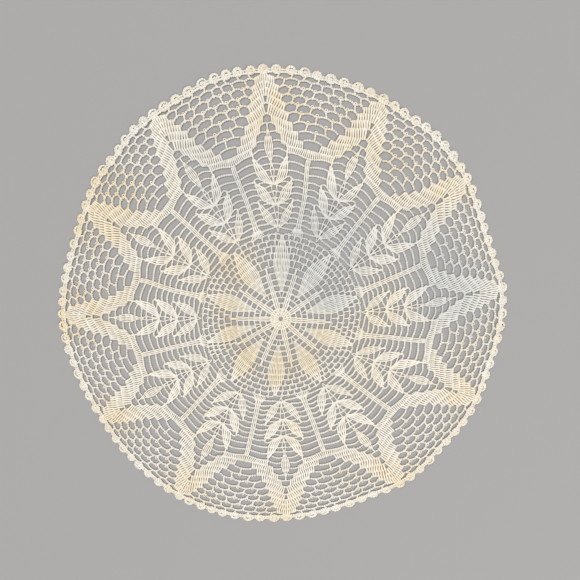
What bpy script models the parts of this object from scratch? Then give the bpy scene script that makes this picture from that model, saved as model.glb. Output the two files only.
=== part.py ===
"""A round lace doily, crocheted in cotton from the middle out, lying flat on Z = 0.

It is one worked piece, so it is one solid: a thin sheet with a scalloped rim and
its larger gaps cut through.  Metres, +Z up.

Places on the doily are given in its own terms.  A radius is a share of the reach
from the middle to the rim.  Around it the outer lace has twelve sprays with a bar
between each two, and the medallion has ten petals with a rib between each two.  A
turn of 0 is a spray's or petal's own axis, and -0.5 and 0.5 are the bars or ribs
on either side of it.
"""

import math
from collections import namedtuple

import bmesh
import bpy

# Driving dimensions, in metres.
REACH_X = 0.256
REACH_Y = 0.2635
THICKNESS = 0.0018

# The middle lies a little off the rim's centre, and the offset fades towards the rim.
OFFSET_X = 0.0087
OFFSET_Y = -0.0548

# Rings of the pattern, as shares of the reach.
MEDALLION_RIM = 0.37
SPRAY_FOOT = 0.38
BAND_VALLEY = 0.715
BAND_POINT = 0.805
BAR_TOP = 0.760
EYE_RADIUS = 0.013

# The rim's scallops: a notch, then two shoulders with the crest between them.
SCALLOPS_PER_SPRAY = 9
SCALLOP_PROFILE = [(0.0, 0.983), (0.25, 0.996), (0.5, 1.001), (0.75, 0.996)]

# How far the ends of a gap bow out, as a share of the gap's height.
GAP_BOW = 0.2

# Each spray with the bar before it.  The bar stands at these degrees clockwise from +Y
# at four radii up to BAR_TOP, and the spray's axis at five up to BAND_POINT.  The other
# columns say how far the lace is pulled out or in there: at the star band by the bar
# and the point, and at the rim by the bar, before the point, by the point and after it.
Spray = namedtuple("Spray", "bar axis bar_band point_band rim_bar rim_before rim_point rim_after")
SPRAYS = [
    Spray((11.4, 12.1, 10.7, 11.6), (25.7, 26.4, 27.0, 26.3, 27.3), 1.013, 0.998, 0.999, 1.000, 1.002, 0.997),
    Spray((41.1, 40.7, 40.8, 41.6), (56.0, 56.1, 56.5, 56.3, 56.2), 0.993, 1.001, 1.011, 1.010, 1.006, 0.988),
    Spray((72.4, 71.6, 71.3, 70.8), (86.3, 86.0, 86.5, 86.1, 85.0), 0.997, 1.010, 0.980, 0.991, 1.017, 1.018),
    Spray((101.9, 100.6, 100.4, 99.7), (116.4, 115.8, 116.2, 115.0, 114.4), 1.008, 1.006, 1.009, 1.002, 1.014, 1.012),
    Spray((132.2, 131.4, 130.7, 129.9), (147.1, 146.8, 146.9, 146.0, 145.2), 0.997, 0.990, 1.000, 1.011, 1.012, 0.985),
    Spray((164.4, 162.7, 162.3, 162.0), (179.9, 178.6, 178.6, 178.0, 178.1), 0.996, 0.999, 0.985, 0.994, 1.003, 1.015),
    Spray((195.1, 194.1, 193.7, 193.9), (209.3, 209.6, 208.9, 208.6, 208.4), 1.018, 1.029, 1.025, 1.029, 1.030, 1.023),
    Spray((225.4, 224.2, 223.4, 223.6), (238.5, 239.3, 238.6, 238.7, 238.1), 1.013, 0.995, 1.014, 1.008, 0.999, 1.001),
    Spray((253.2, 253.7, 253.4, 253.5), (269.2, 268.2, 268.2, 267.9, 267.8), 1.000, 0.998, 1.007, 1.017, 1.018, 1.006),
    Spray((284.2, 282.9, 283.5, 281.9), (299.1, 298.8, 298.2, 297.3, 297.1), 0.979, 0.973, 0.990, 0.981, 0.989, 0.998),
    Spray((316.1, 314.1, 313.3, 312.2), (329.6, 328.7, 328.1, 327.2, 326.3), 0.987, 1.006, 0.991, 1.006, 1.005, 1.004),
    Spray((344.3, 343.4, 342.0, 342.4), (358.6, 357.7, 357.2, 356.2, 356.3), 1.000, 1.021, 1.019, 1.020, 1.017, 1.010),
]
# How far the medallion's edge bulges, every 15 degrees from the first bar round to it.
EDGE_BULGE = [
    0.006, 0.002, 0.000, 0.002, 0.001, 0.004, -0.007, -0.003, -0.009, -0.011, -0.007, -0.003,
    0.011, 0.012, 0.019, 0.009, 0.001, -0.001, -0.006, -0.007, -0.011, 0.000, 0.001, 0.010, 0.006,
]  # fmt: skip
BULGE_END = 0.68  # the radius where the outer lace no longer follows the bulge

# Each petal of the medallion at its base and its tip, with the rib after it, clockwise
# from +Y in degrees.
Petal = namedtuple("Petal", "base tip rib")
PETALS = [
    Petal(2.4, 1.3, 18.2),
    Petal(39.0, 39.0, 56.3),
    Petal(75.2, 75.0, 94.1),
    Petal(112.6, 110.2, 129.9),
    Petal(149.0, 147.2, 166.8),
    Petal(185.8, 184.2, 203.7),
    Petal(222.0, 218.2, 239.5),
    Petal(253.4, 251.2, 269.4),
    Petal(286.8, 286.3, 304.3),
    Petal(325.6, 323.9, 343.1),
]

# The larger gaps on one side of a spray, from the foot out.  Each lies between a near
# and a far turn, with its lower and upper radius at either.
Gap = namedtuple("Gap", "near near_low near_high far far_low far_high")
SIDE_GAPS = {
    "ladder by the lower leaf": Gap(0.300, 0.447, 0.490, 0.410, 0.445, 0.490),
    "ladder by the middle leaf": Gap(0.262, 0.502, 0.544, 0.410, 0.499, 0.543),
    "ladder past the middle leaf": Gap(0.272, 0.556, 0.603, 0.412, 0.552, 0.596),
    "ladder under the band": Gap(0.245, 0.617, 0.658, 0.418, 0.605, 0.634),
    "beside the top leaf": Gap(0.082, 0.672, 0.706, 0.178, 0.654, 0.696),
    "above the top leaf": Gap(0.045, 0.724, 0.775, 0.112, 0.722, 0.746),
}

# The gap on a spray's own axis, under the point of the band.
POINT_GAP = Gap(-0.020, 0.794, 0.812, 0.020, 0.794, 0.812)

# The gap on either side of a petal, by the end of a rib.
PETAL_GAP = Gap(0.300, 0.207, 0.230, 0.435, 0.207, 0.230)

# The net between the bands of two sprays, centred on the bar and cut at twice its
# pitch: the cells in each row, its lower and upper radius, and how far it reaches to
# either side of the bar.
NetRow = namedtuple("NetRow", "cells low high reach_low reach_high")
NET_ROWS = [
    NetRow(1, 0.694, 0.758, 0.050, 0.130),
    NetRow(2, 0.769, 0.825, 0.205, 0.262),
    NetRow(3, 0.835, 0.886, 0.308, 0.340),
    NetRow(4, 0.896, 0.950, 0.372, 0.400),
]
NET_CHAIN = 0.0024  # metres across the chains between two cells

COTTON = dict(colour=(0.80, 0.74, 0.63, 1.0), roughness=0.85)


def clear_scene():
    for thing in list(bpy.data.objects):
        bpy.data.objects.remove(thing, do_unlink=True)


def between(start, end, share):
    return start + (end - start) * share


def clamp(share):
    return min(max(share, 0.0), 1.0)


def spread(share, values):
    """A value read between evenly spaced ones, the first at 0 and the last at 1."""
    place = clamp(share) * (len(values) - 1)
    step = min(int(place), len(values) - 2)
    return between(values[step], values[step + 1], place - step)


def lie(radius, degrees):
    """The place of a point, once the doily's offset middle and its two reaches are in."""
    bulge = spread(((degrees - SPRAYS[0].bar[0]) % 360.0) / 360.0, EDGE_BULGE)
    if radius < MEDALLION_RIM:
        radius += bulge * (radius / MEDALLION_RIM) ** 2
    else:
        radius += bulge * clamp((BULGE_END - radius) / (BULGE_END - 0.42))
    angle = math.radians(degrees)
    fade = 1.0 - radius * radius
    return (
        REACH_X * (radius * math.sin(angle) + OFFSET_X * fade),
        REACH_Y * (radius * math.cos(angle) + OFFSET_Y * fade),
    )


def outer_place(index, turn, radius):
    """A point of the outer lace.  A turn past half goes on into the next spray."""
    if turn > 0.5:
        return outer_place(index + 1, turn - 1.0, radius)
    if turn < -0.5:
        return outer_place(index - 1, turn + 1.0, radius)
    spray = SPRAYS[index % len(SPRAYS)]
    after = SPRAYS[(index + 1) % len(SPRAYS)]
    bar = spray if turn < 0.0 else after
    axis_angle = spread((radius - SPRAY_FOOT) / (BAND_POINT - SPRAY_FOOT), spray.axis)
    bar_angle = spread((radius - SPRAY_FOOT) / (BAR_TOP - SPRAY_FOOT), bar.bar)
    if turn < 0.0 and bar_angle > axis_angle:
        bar_angle -= 360.0
    if turn >= 0.0 and bar_angle < axis_angle:
        bar_angle += 360.0
    share = abs(turn) * 2.0
    rims = [spray.rim_bar, spray.rim_before, spray.rim_point, spray.rim_after, after.rim_bar]
    rim = spread(turn + 0.5, rims)
    band = between(spray.point_band, bar.bar_band, share)
    band_radius = between(BAND_POINT, BAND_VALLEY, share)
    if radius < band_radius:
        pull = between(1.0, band, clamp((radius - MEDALLION_RIM) / (band_radius - MEDALLION_RIM)))
    else:
        pull = between(band, rim, (radius - band_radius) / (1.0 - band_radius))
    return lie(radius * pull, between(axis_angle, bar_angle, share))


def petal_place(index, turn, radius):
    """A point of the medallion.  A turn past half goes on into the next petal."""
    if turn > 0.5:
        return petal_place(index + 1, turn - 1.0, radius)
    if turn < -0.5:
        return petal_place(index - 1, turn + 1.0, radius)
    petal = PETALS[index % len(PETALS)]
    axis_angle = between(petal.base, petal.tip, clamp((radius - 0.12) / 0.18))
    rib_angle = petal.rib if turn >= 0.0 else PETALS[(index - 1) % len(PETALS)].rib
    if turn < 0.0 and rib_angle > axis_angle:
        rib_angle -= 360.0
    return lie(radius, between(axis_angle, rib_angle, abs(turn) * 2.0))


def gap_corners(gap, repeats, side=1.0):
    """Six corners of a gap, as turn and radius: its four, and a bow at each end."""
    bow = GAP_BOW * (gap.near_high - gap.near_low) / (2.0 * math.pi * gap.near_low) * repeats
    corners = [
        (gap.near, gap.near_low),
        (gap.far, gap.far_low),
        (gap.far + bow, (gap.far_low + gap.far_high) / 2.0),
        (gap.far, gap.far_high),
        (gap.near, gap.near_high),
        (gap.near - bow, (gap.near_low + gap.near_high) / 2.0),
    ]
    return [(turn * side, radius) for turn, radius in corners]


def net_level(row, number, radius, reach, inset_chains):
    """The two ends of a net cell at one height, as turn from the bar and radius."""
    inset = inset_chains * NET_CHAIN / (2.0 * math.pi * radius * REACH_X) * len(SPRAYS)
    left = 2.0 * number / row.cells - 1.0
    right = 2.0 * (number + 1) / row.cells - 1.0
    return (left * reach + inset, radius), (right * reach - inset, radius)


def net_cells(row):
    """The six-sided cells of one net row, as turn from the bar and radius."""
    cells = []
    for number in range(row.cells):
        low = net_level(row, number, row.low, row.reach_low, 1.0)
        high = net_level(row, number, row.high, row.reach_high, 1.0)
        waist_radius = (row.low + row.high) / 2.0
        waist = net_level(row, number, waist_radius, (row.reach_low + row.reach_high) / 2.0, 0.5)
        cells.append([low[0], low[1], waist[1], high[1], high[0], waist[0]])
    return cells


def rim_outline():
    outline = []
    for index in range(len(SPRAYS)):
        for number in range(SCALLOPS_PER_SPRAY):
            for share, radius in SCALLOP_PROFILE:
                turn = (number + share) / SCALLOPS_PER_SPRAY - 0.5
                outline.append(outer_place(index, turn, radius))
    return outline


def gap_outlines():
    outlines = [[lie(EYE_RADIUS, 60.0 * step) for step in range(6)]]
    for index in range(len(PETALS)):
        for side in (-1.0, 1.0):
            corners = gap_corners(PETAL_GAP, len(PETALS), side)
            outlines.append([petal_place(index, turn, radius) for turn, radius in corners])
    for index in range(len(SPRAYS)):
        shapes = [gap_corners(gap, len(SPRAYS), side) for gap in SIDE_GAPS.values() for side in (-1.0, 1.0)]
        shapes.append(gap_corners(POINT_GAP, len(SPRAYS)))
        for row in NET_ROWS:
            shapes += [[(turn - 0.5, radius) for turn, radius in cell] for cell in net_cells(row)]
        for shape in shapes:
            outlines.append([outer_place(index, turn, radius) for turn, radius in shape])
    return outlines


def cotton():
    material = bpy.data.materials.new("cotton")
    material.use_nodes = True
    shader = material.node_tree.nodes["Principled BSDF"]
    shader.inputs["Base Color"].default_value = COTTON["colour"]
    shader.inputs["Roughness"].default_value = COTTON["roughness"]
    return material


def build_doily():
    rim = rim_outline()
    middle_x = (min(x for x, _ in rim) + max(x for x, _ in rim)) / 2.0
    middle_y = (min(y for _, y in rim) + max(y for _, y in rim)) / 2.0
    bm = bmesh.new()
    for outline in [rim] + gap_outlines():
        corners = [bm.verts.new((x - middle_x, y - middle_y, 0.0)) for x, y in outline]
        for here, there in zip(corners, corners[1:] + corners[:1]):
            bm.edges.new((here, there))
    filled = bmesh.ops.triangle_fill(bm, edges=bm.edges[:], use_beauty=True)
    faces = [item for item in filled["geom"] if isinstance(item, bmesh.types.BMFace)]
    bmesh.ops.recalc_face_normals(bm, faces=faces)
    raised = bmesh.ops.extrude_face_region(bm, geom=faces, use_keep_orig=True)
    top = [item for item in raised["geom"] if isinstance(item, bmesh.types.BMVert)]
    bmesh.ops.translate(bm, verts=top, vec=(0.0, 0.0, THICKNESS))
    bmesh.ops.recalc_face_normals(bm, faces=bm.faces[:])
    mesh = bpy.data.meshes.new("doily")
    bm.to_mesh(mesh)
    bm.free()
    mesh.materials.append(cotton())
    doily = bpy.data.objects.new("doily", mesh)
    bpy.context.scene.collection.objects.link(doily)
    return doily


clear_scene()
build_doily()
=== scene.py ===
"""A round lace doily in ivory crochet cotton, stitch by stitch, lying flat.

Every stitch is made of small closed shapes: a chain link is two plies in a V, a post
is a column that widens to its head, and a picot is a ring.  The pattern lays them along
lines that are given in the doily's own terms, and each part of it is joined in one mesh.

A radius is a share of the reach from the middle to the rim.  Around it the outer
lace has twelve sprays with a bar between each two, and the medallion has ten petals
with a rib between each two.  A turn of 0 is a spray's or petal's own axis, and -0.5
and 0.5 are the bars or ribs on either side of it.  Metres, +Z up.
"""

import math
import random
from collections import namedtuple

import bmesh
import bpy
import numpy as np
from bpy.props import FloatProperty, FloatVectorProperty, PointerProperty
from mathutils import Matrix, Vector


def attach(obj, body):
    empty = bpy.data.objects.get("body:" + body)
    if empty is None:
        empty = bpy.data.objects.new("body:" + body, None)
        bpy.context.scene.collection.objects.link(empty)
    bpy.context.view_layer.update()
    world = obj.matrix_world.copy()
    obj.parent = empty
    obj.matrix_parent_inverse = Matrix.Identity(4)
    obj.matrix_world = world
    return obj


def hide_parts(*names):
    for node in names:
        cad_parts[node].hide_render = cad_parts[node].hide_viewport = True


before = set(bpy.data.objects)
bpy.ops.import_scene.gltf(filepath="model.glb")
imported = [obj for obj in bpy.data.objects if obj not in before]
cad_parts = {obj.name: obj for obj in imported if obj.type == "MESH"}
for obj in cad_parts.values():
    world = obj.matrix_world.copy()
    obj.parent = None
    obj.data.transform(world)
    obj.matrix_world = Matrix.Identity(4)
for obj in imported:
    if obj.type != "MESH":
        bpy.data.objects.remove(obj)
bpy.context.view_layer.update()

bl_info = {
    "name": "Crochet lace doily",
    "version": (1, 0, 0),
    "blender": (4, 5, 0),
    "location": "3D View > Sidebar > Doily",
    "description": "Crochets a round lace doily of ivory cotton, with a floor, lights and a camera",
    "category": "Add Mesh",
}

# --- The doily as it lies -------------------------------------------------------

REACH_X = 0.256  # metres from the middle to the rim, and the same along Y
REACH_Y = 0.2635
OFFSET_X = 0.0087  # how far the middle lies off the rim's centre, as a share of the reach
OFFSET_Y = -0.0548
MEDALLION_RIM = 0.37
SPRAY_FOOT = 0.38
BAND_VALLEY = 0.715  # the star band's middle by the bars, and by the points
BAND_POINT = 0.805
BAR_TOP = 0.760
SCALLOPS = 9  # in one spray's share of the rim
SCALLOP_PROFILE = [(0.0, 0.983), (0.25, 0.996), (0.5, 1.001), (0.75, 0.996)]

# Each spray with the bar before it.  The bar stands at these degrees clockwise from +Y
# at four radii up to BAR_TOP, and the spray's axis at five up to BAND_POINT.  The other
# columns say how far the lace is pulled out or in there, in thousandths of its radius: at
# the star band by the bar and the point, and at the rim by the bar, before the point, by
# the point and after it.
Spray = namedtuple("Spray", "bar axis bar_band point_band rim_bar rim_before rim_point rim_after")
SPRAYS = [
    Spray((11.4, 12.1, 10.7, 11.6), (25.7, 26.4, 27.0, 26.3, 27.3), 13, -2, -1, 0, 2, -3),
    Spray((41.1, 40.7, 40.8, 41.6), (56.0, 56.1, 56.5, 56.3, 56.2), -7, 1, 11, 10, 6, -12),
    Spray((72.4, 71.6, 71.3, 70.8), (86.3, 86.0, 86.5, 86.1, 85.0), -3, 10, -20, -9, 17, 18),
    Spray((101.9, 100.6, 100.4, 99.7), (116.4, 115.8, 116.2, 115.0, 114.4), 8, 6, 9, 2, 14, 12),
    Spray((132.2, 131.4, 130.7, 129.9), (147.1, 146.8, 146.9, 146.0, 145.2), -3, -10, 0, 11, 12, -15),
    Spray((164.4, 162.7, 162.3, 162.0), (179.9, 178.6, 178.6, 178.0, 178.1), -4, -1, -15, -6, 3, 15),
    Spray((195.1, 194.1, 193.7, 193.9), (209.3, 209.6, 208.9, 208.6, 208.4), 18, 29, 25, 29, 30, 23),
    Spray((225.4, 224.2, 223.4, 223.6), (238.5, 239.3, 238.6, 238.7, 238.1), 13, -5, 14, 8, -1, 1),
    Spray((253.2, 253.7, 253.4, 253.5), (269.2, 268.2, 268.2, 267.9, 267.8), 0, -2, 7, 17, 18, 6),
    Spray((284.2, 282.9, 283.5, 281.9), (299.1, 298.8, 298.2, 297.3, 297.1), -21, -27, -10, -19, -11, -2),
    Spray((316.1, 314.1, 313.3, 312.2), (329.6, 328.7, 328.1, 327.2, 326.3), -13, 6, -9, 6, 5, 4),
    Spray((344.3, 343.4, 342.0, 342.4), (358.6, 357.7, 357.2, 356.2, 356.3), 0, 21, 19, 20, 17, 10),
]
# How far the medallion's edge bulges, in thousandths of the reach, every 15 degrees from
# the first bar round to it.
EDGE_BULGE = [6, 2, 0, 2, 1, 4, -7, -3, -9, -11, -7, -3, 11, 12, 19, 9, 1, -1, -6, -7, -11, 0, 1, 10, 6]
BULGE_FULL = 0.42  # the radius up to which the outer lace follows the bulge in full
BULGE_END = 0.68  # the radius where it no longer does

# Each petal of the medallion at its base and its tip, with the rib after it, clockwise
# from +Y in degrees.
Petal = namedtuple("Petal", "base tip rib")
PETALS = [
    Petal(2.4, 1.3, 18.2),
    Petal(39.0, 39.0, 56.3),
    Petal(75.2, 75.0, 94.1),
    Petal(112.6, 110.2, 129.9),
    Petal(149.0, 147.2, 166.8),
    Petal(185.8, 184.2, 203.7),
    Petal(222.0, 218.2, 239.5),
    Petal(253.4, 251.2, 269.4),
    Petal(286.8, 286.3, 304.3),
    Petal(325.6, 323.9, 343.1),
]
PETAL_BASE = 0.12  # the radius of a petal's base, and of its tip
PETAL_TIP = 0.30


def between(start, end, share):
    return start + (end - start) * share


def clamp(share):
    return min(max(share, 0.0), 1.0)


def spread(share, values):
    """A value read between evenly spaced ones, the first at 0 and the last at 1."""
    place = clamp(share) * (len(values) - 1)
    step = min(int(place), len(values) - 2)
    return between(values[step], values[step + 1], place - step)


def lie(radius, degrees):
    """The place of a point, once the doily's offset middle and its two reaches are in."""
    bulge = spread(((degrees - SPRAYS[0].bar[0]) % 360.0) / 360.0, EDGE_BULGE) / 1000.0
    if radius < MEDALLION_RIM:
        radius += bulge * (radius / MEDALLION_RIM) ** 2
    else:
        radius += bulge * clamp((BULGE_END - radius) / (BULGE_END - BULGE_FULL))
    angle = math.radians(degrees)
    fade = 1.0 - radius * radius
    return (
        REACH_X * (radius * math.sin(angle) + OFFSET_X * fade),
        REACH_Y * (radius * math.cos(angle) + OFFSET_Y * fade),
    )


def outer_place(index, turn, radius):
    """A point of the outer lace.  A turn past half goes on into the next spray."""
    if turn > 0.5:
        return outer_place(index + 1, turn - 1.0, radius)
    if turn < -0.5:
        return outer_place(index - 1, turn + 1.0, radius)
    spray = SPRAYS[index % len(SPRAYS)]
    after = SPRAYS[(index + 1) % len(SPRAYS)]
    bar = spray if turn < 0.0 else after
    axis_angle = spread((radius - SPRAY_FOOT) / (BAND_POINT - SPRAY_FOOT), spray.axis)
    bar_angle = spread((radius - SPRAY_FOOT) / (BAR_TOP - SPRAY_FOOT), bar.bar)
    if turn < 0.0 and bar_angle > axis_angle:
        bar_angle -= 360.0
    if turn >= 0.0 and bar_angle < axis_angle:
        bar_angle += 360.0
    share = abs(turn) * 2.0
    rims = [spray.rim_bar, spray.rim_before, spray.rim_point, spray.rim_after, after.rim_bar]
    rim = spread(turn + 0.5, rims)
    band = between(spray.point_band, bar.bar_band, share)
    band_radius = between(BAND_POINT, BAND_VALLEY, share)
    if radius < band_radius:
        pull = band * clamp((radius - MEDALLION_RIM) / (band_radius - MEDALLION_RIM))
    else:
        pull = between(band, rim, (radius - band_radius) / (1.0 - band_radius))
    return lie(radius * (1.0 + pull / 1000.0), between(axis_angle, bar_angle, share))


def petal_place(index, turn, radius):
    """A point of the medallion.  A turn past half goes on into the next petal."""
    if turn > 0.5:
        return petal_place(index + 1, turn - 1.0, radius)
    if turn < -0.5:
        return petal_place(index - 1, turn + 1.0, radius)
    petal = PETALS[index % len(PETALS)]
    axis_angle = between(petal.base, petal.tip, clamp((radius - PETAL_BASE) / (PETAL_TIP - PETAL_BASE)))
    rib_angle = petal.rib if turn >= 0.0 else PETALS[(index - 1) % len(PETALS)].rib
    if turn < 0.0 and rib_angle > axis_angle:
        rib_angle -= 360.0
    return lie(radius, between(axis_angle, rib_angle, abs(turn) * 2.0))


def middle_of_rim():
    """The middle of the scalloped rim's box, which the frame puts at the origin."""
    rim = [
        outer_place(index, (number + share) / SCALLOPS - 0.5, radius)
        for index in range(len(SPRAYS))
        for number in range(SCALLOPS)
        for share, radius in SCALLOP_PROFILE
    ]
    xs, ys = zip(*rim)
    return (min(xs) + max(xs)) / 2.0, (min(ys) + max(ys)) / 2.0


MIDDLE = middle_of_rim()


class Chart:
    """One repeat of the pattern: turns a list of (turn, radius) into metres."""

    def __init__(self, place, index, side=1.0, shift=0.0):
        self.place = place
        self.index = index
        self.side = side
        self.shift = shift

    def at(self, turn, radius):
        x, y = self.place(self.index, turn * self.side + self.shift, radius)
        return x - MIDDLE[0], y - MIDDLE[1]

    def line(self, *points):
        return [self.at(turn, radius) for turn, radius in points]

    def across(self, half, radius):
        """A line across the axis, as far as half on either side."""
        return self.line(*[(half * share, radius) for share in (-1.0, -0.5, 0.0, 0.5, 1.0)])


def lengths_along(points):
    run = [0.0]
    for here, there in zip(points, points[1:]):
        run.append(run[-1] + math.dist(here, there))
    return run


def along(points, share):
    """The point a share of the way along a line of points."""
    run = lengths_along(points)
    goal = run[-1] * share
    for number in range(1, len(points)):
        if goal <= run[number] or number == len(points) - 1:
            part = (goal - run[number - 1]) / max(run[number] - run[number - 1], 1e-9)
            here, there = points[number - 1], points[number]
            return between(here[0], there[0], part), between(here[1], there[1], part)
    return points[0]


def curved(points, steps=6):
    """A smooth line through points."""
    if len(points) < 3:
        return points
    ends = [points[0]] + list(points) + [points[-1]]
    smooth = []
    for four in zip(ends, ends[1:], ends[2:], ends[3:]):
        smooth += [tuple(spline(*values, step / steps) for values in zip(*four)) for step in range(steps)]
    return smooth + [points[-1]]


def spline(a, b, c, d, t):
    """A value on the smooth curve from b to c, where a comes before them and d after."""
    square, cube = 2 * a - 5 * b + 4 * c - d, 3 * b - a - 3 * c + d
    return 0.5 * (2 * b + (c - a) * t + square * t * t + cube * t ** 3)


# --- Laying stitches ------------------------------------------------------------

# Below, a value that ends in _POST or _LINK is how wide such stitches are, as a share of
# the yarn's own width for them.
POST_OVERLAP = 1.00  # how wide the posts of a row are for their spacing
POST_REACH = 0.0008  # metres that they run on over the rows before and after
WIDTHS = (0.93, 1.07)  # the narrowest and the widest stitch, as shares of what they should be
WAVER = 0.00012  # metres that a stitch's ends may stray
LINK_WAVER = 0.00008
# A loop of the nets, as shares of its way across and of its height, and how far down it
# comes at an upright.
LOOP_POINTS = ((0.25, 0.75), (0.5, 1.0), (0.75, 0.75))
LOOP_SAG = 0.5
SIDES = (-1.0, 1.0)

Laid = namedtuple("Laid", "start end width lift tone")


class Lace:
    """The stitches of one part of the doily, in the order they are worked."""

    def __init__(self, yarn, seed):
        self.yarn = yarn
        self.hand = random.Random(seed)
        self.laid = {"link": [], "post": [], "picot": []}

    def strayed(self, point, size):
        return point[0] + self.hand.uniform(-size, size), point[1] + self.hand.uniform(-size, size)

    def stitch(self, kind, start, end, width, lift=0.0, waver=WAVER):
        width *= self.hand.uniform(*WIDTHS)
        tone = self.hand.random()
        ends = self.strayed(start, waver), self.strayed(end, waver)
        self.laid[kind].append(Laid(*ends, width, lift, tone))

    def chain(self, points, count=None, lift=0.0, width=1.0):
        """Links along a smooth line, as many as fit it unless a count is given."""
        smooth = curved(points)
        if count is None:
            count = max(1, round(lengths_along(smooth)[-1] / self.yarn.link_length))
        stops = [along(smooth, number / count) for number in range(count + 1)]
        for here, there in zip(stops, stops[1:]):
            self.stitch("link", here, there, self.yarn.link_width * width, lift, LINK_WAVER)

    def post(self, foot, head, width=1.0):
        self.stitch("post", foot, head, self.yarn.post_width * width)

    def posts(self, chart, places, width=1.0):
        """Single posts, each given by the turn and radius of its foot and of its head."""
        for turn, radius, head_turn, head_radius in places:
            self.post(chart.at(turn, radius), chart.at(head_turn, head_radius), width)

    def row(self, low, high, count, lean=0.0, overlap=POST_OVERLAP):
        """Posts side by side from a low line to a high one, that run on into the next row."""
        room = (lengths_along(low)[-1] + lengths_along(high)[-1]) / 2.0 / count
        width = clamp(room * overlap / self.yarn.post_width)
        for number in range(count):
            share = (number + 0.5) / count
            aside = lean * math.sin(math.pi * share)
            foot, head = along(low, share - aside), along(high, share + aside)
            part = POST_REACH / math.dist(foot, head)
            ends = [[between(*pair, end) for pair in zip(foot, head)] for end in (-part, 1.0 + part)]
            self.post(*ends, width)

    def rows(self, chart, rows):
        """Rows across an axis: low radius, high radius, half the width there in turns, count."""
        for low, high, half_low, half_high, count in rows:
            self.row(chart.across(half_low, low), chart.across(half_high, high), count)

    def loops(self, chart, radius, stops, arch, width):
        """A chain that rises in a round loop between the tops of the uprights that it joins."""
        points = []
        for here, there in zip(stops, stops[1:]):
            points.append((here, radius(here) - arch * LOOP_SAG))
            for share, rise in LOOP_POINTS:
                turn = between(here, there, share)
                points.append((turn, radius(turn) + arch * rise))
        points.append((stops[-1], radius(stops[-1]) - arch * LOOP_SAG))
        self.chain(chart.line(*points), width=width)

    def uprights(self, turns, stray):
        """The turns of uprights on both sides of an axis, each a little out of its place."""
        both = sorted({side * turn for turn in turns for side in SIDES})
        return [turn + self.hand.uniform(-stray, stray) for turn in both]

    def picot(self, chart, turn, radius, ahead, size):
        """A small ring on a chart, turned towards a point further out."""
        toward = chart.at(turn, radius + ahead)
        self.stitch("picot", chart.at(turn, radius), toward, self.yarn.picot_size * size)


# --- The medallion ---------------------------------------------------------------

# Rows of the disc: low radius, high radius and the posts all round.
DISC_ROWS = [(0.014, 0.030, 14), (0.030, 0.046, 24)]
DISC_POST = 0.95
EYE_RADIUS = 0.0135
EYE_LINKS = 8
# Rows across an axis: low radius, high radius, half their width there in turns, count.
PETAL_ROWS = [
    (0.122, 0.147, 0.085, 0.145, 5),
    (0.147, 0.172, 0.150, 0.200, 7),
    (0.172, 0.200, 0.200, 0.248, 9),
    (0.200, 0.228, 0.250, 0.272, 11),
    (0.228, 0.2555, 0.262, 0.250, 11),
    (0.2555, 0.281, 0.232, 0.205, 9),
    (0.281, 0.307, 0.175, 0.145, 7),
    (0.307, 0.331, 0.115, 0.075, 4),
]
RIB_ROWS = [
    (0.046, 0.070, 0.400, 0.350, 3),
    (0.070, 0.095, 0.290, 0.250, 3),
    (0.095, 0.121, 0.190, 0.165, 3),
    (0.121, 0.147, 0.130, 0.120, 3),
    (0.147, 0.172, 0.115, 0.108, 3),
    (0.172, 0.200, 0.105, 0.098, 3),
]
# Chains under a petal, from rib to rib, and the posts that its first row stands on.
FOOT_CHAINS = [
    [(-0.30, 0.071), (0.0, 0.0695), (0.30, 0.071)],
    [(-0.27, 0.096), (0.0, 0.0945), (0.27, 0.096)],
]
FOOT_POSTS = [(0.055, 0.097, 0.140, 0.121)]
FOOT_POST = 0.5
PETAL_CHAIN = [(-0.09, 0.121), (0.0, 0.1215), (0.09, 0.121)]
# Rungs from a petal's edge to a rib's: the turn at either end, and the radius.
PETAL_RUNGS = [(0.070, 0.355, 0.121), (0.135, 0.385, 0.147), (0.195, 0.395, 0.172), (0.245, 0.410, 0.200)]
RUNG_SAG = 0.001
TIP_POSTS = [(-0.03, 0.331, -0.012, 0.354), (0.03, 0.331, 0.012, 0.354)]
# The chain over a rib, the post that holds it, and its picot: turn, radius, ahead, size.
RIB_CHAIN = [(0.262, 0.228), (0.38, 0.2265), (0.5, 0.229)]
RIB_LINK = 0.85
RIB_POSTS = [(0.0, 0.200, 0.0, 0.228)]
RIB_PICOT = (0.045, 0.233, 0.008, 0.85)
# The net round a rib: lower and upper chain, the uprights' turns from the rib, and
# where the chain above meets the petal's edge.
MedallionNet = namedtuple("MedallionNet", "low high uprights edge")
MEDALLION_NET = [
    MedallionNet(0.228, 0.2555, (0.130,), 0.250),
    MedallionNet(0.2555, 0.281, (0.0, 0.190), 0.292),
    MedallionNet(0.281, 0.307, (0.100, 0.272), 0.352),
    MedallionNet(0.307, 0.331, (0.0, 0.178, 0.338), 0.420),
    MedallionNet(0.331, 0.354, (0.085, 0.225, 0.370), 0.470),
]
MEDALLION_STRAY = 0.018  # how far, in turns, an upright may stand from its place
MEDALLION_FOOT = 0.99  # the turn of its foot, for its head's
MEDALLION_GAP = 0.001  # how far its head stops from the chain
MEDALLION_POST = 0.62
MEDALLION_PICOT = (0.004, 0.010, 0.95)  # how far above the chain, ahead, and size
MEDALLION_ARCH = 0.004  # how high a loop rises
MEDALLION_LINK = 0.92


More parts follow.
